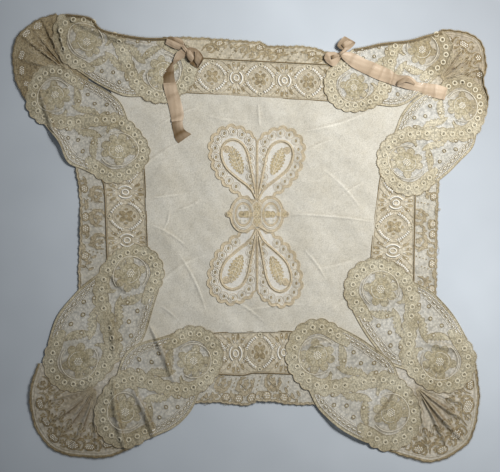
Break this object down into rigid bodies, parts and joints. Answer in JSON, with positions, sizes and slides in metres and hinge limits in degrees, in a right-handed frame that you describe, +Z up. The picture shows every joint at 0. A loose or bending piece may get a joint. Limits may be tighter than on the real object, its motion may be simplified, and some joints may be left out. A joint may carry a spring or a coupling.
{
  "type": "needle lace cushion cover",
  "caption": "Laid-out cushion cover of needle lace: sheer panel with an applied lobed motif, lace bands, oval plaques in pairs, gathered corner fans and tied ribbon bows",
  "frame": {"origin": "on the table under the middle of the laid-out cover's bounding box", "axes": "+Z up off the table, +Y towards the edge with the ribbon bows, +X to the right when seen from above with the bows at the far edge; millimetres in the source, metres in the row"},
  "size_m": [0.6427, 0.605, 0.0112],
  "materials": {
    "lawn": "sheer cream cotton lawn, slightly wrinkled, matte",
    "plaque_lace": "ecru needle lace with dense clothwork, raised cords and open net, matte",
    "band_lace": "ecru lace on fine net with small raised eyelets and bars, matte",
    "motif_lace": "golden cream applied lace with raised cords and eyelets, matte",
    "ribbon": "peach-tan satin ribbon, soft sheen"
  },
  "bodies": {
    "root": {"plaque_top_left_across": "plaque_lace", "plaque_top_left_down": "plaque_lace", "plaque_top_right_across": "plaque_lace", "plaque_top_right_down": "plaque_lace", "plaque_bottom_left_across": "plaque_lace", "plaque_bottom_left_down": "plaque_lace", "plaque_bottom_right_across": "plaque_lace", "plaque_bottom_right_down": "plaque_lace", "corner_fan_bottom_right": "band_lace", "corner_fan_bottom_left": "band_lace", "corner_fan_top_left": "band_lace", "corner_fan_top_right": "band_lace", "centre_panel": "lawn", "insertion_top": "band_lace", "edging_top": "band_lace", "insertion_right": "band_lace", "edging_right": "band_lace", "insertion_bottom": "band_lace", "edging_bottom": "band_lace", "insertion_left": "band_lace", "edging_left": "band_lace", "motif_knot": "motif_lace", "motif_lobe_top_right": "motif_lace", "motif_lobe_top_left": "motif_lace", "motif_lobe_bottom_right": "motif_lace", "motif_lobe_bottom_left": "motif_lace", "bow_left": "ribbon", "bow_right": "ribbon"}
  },
  "joints": []
}
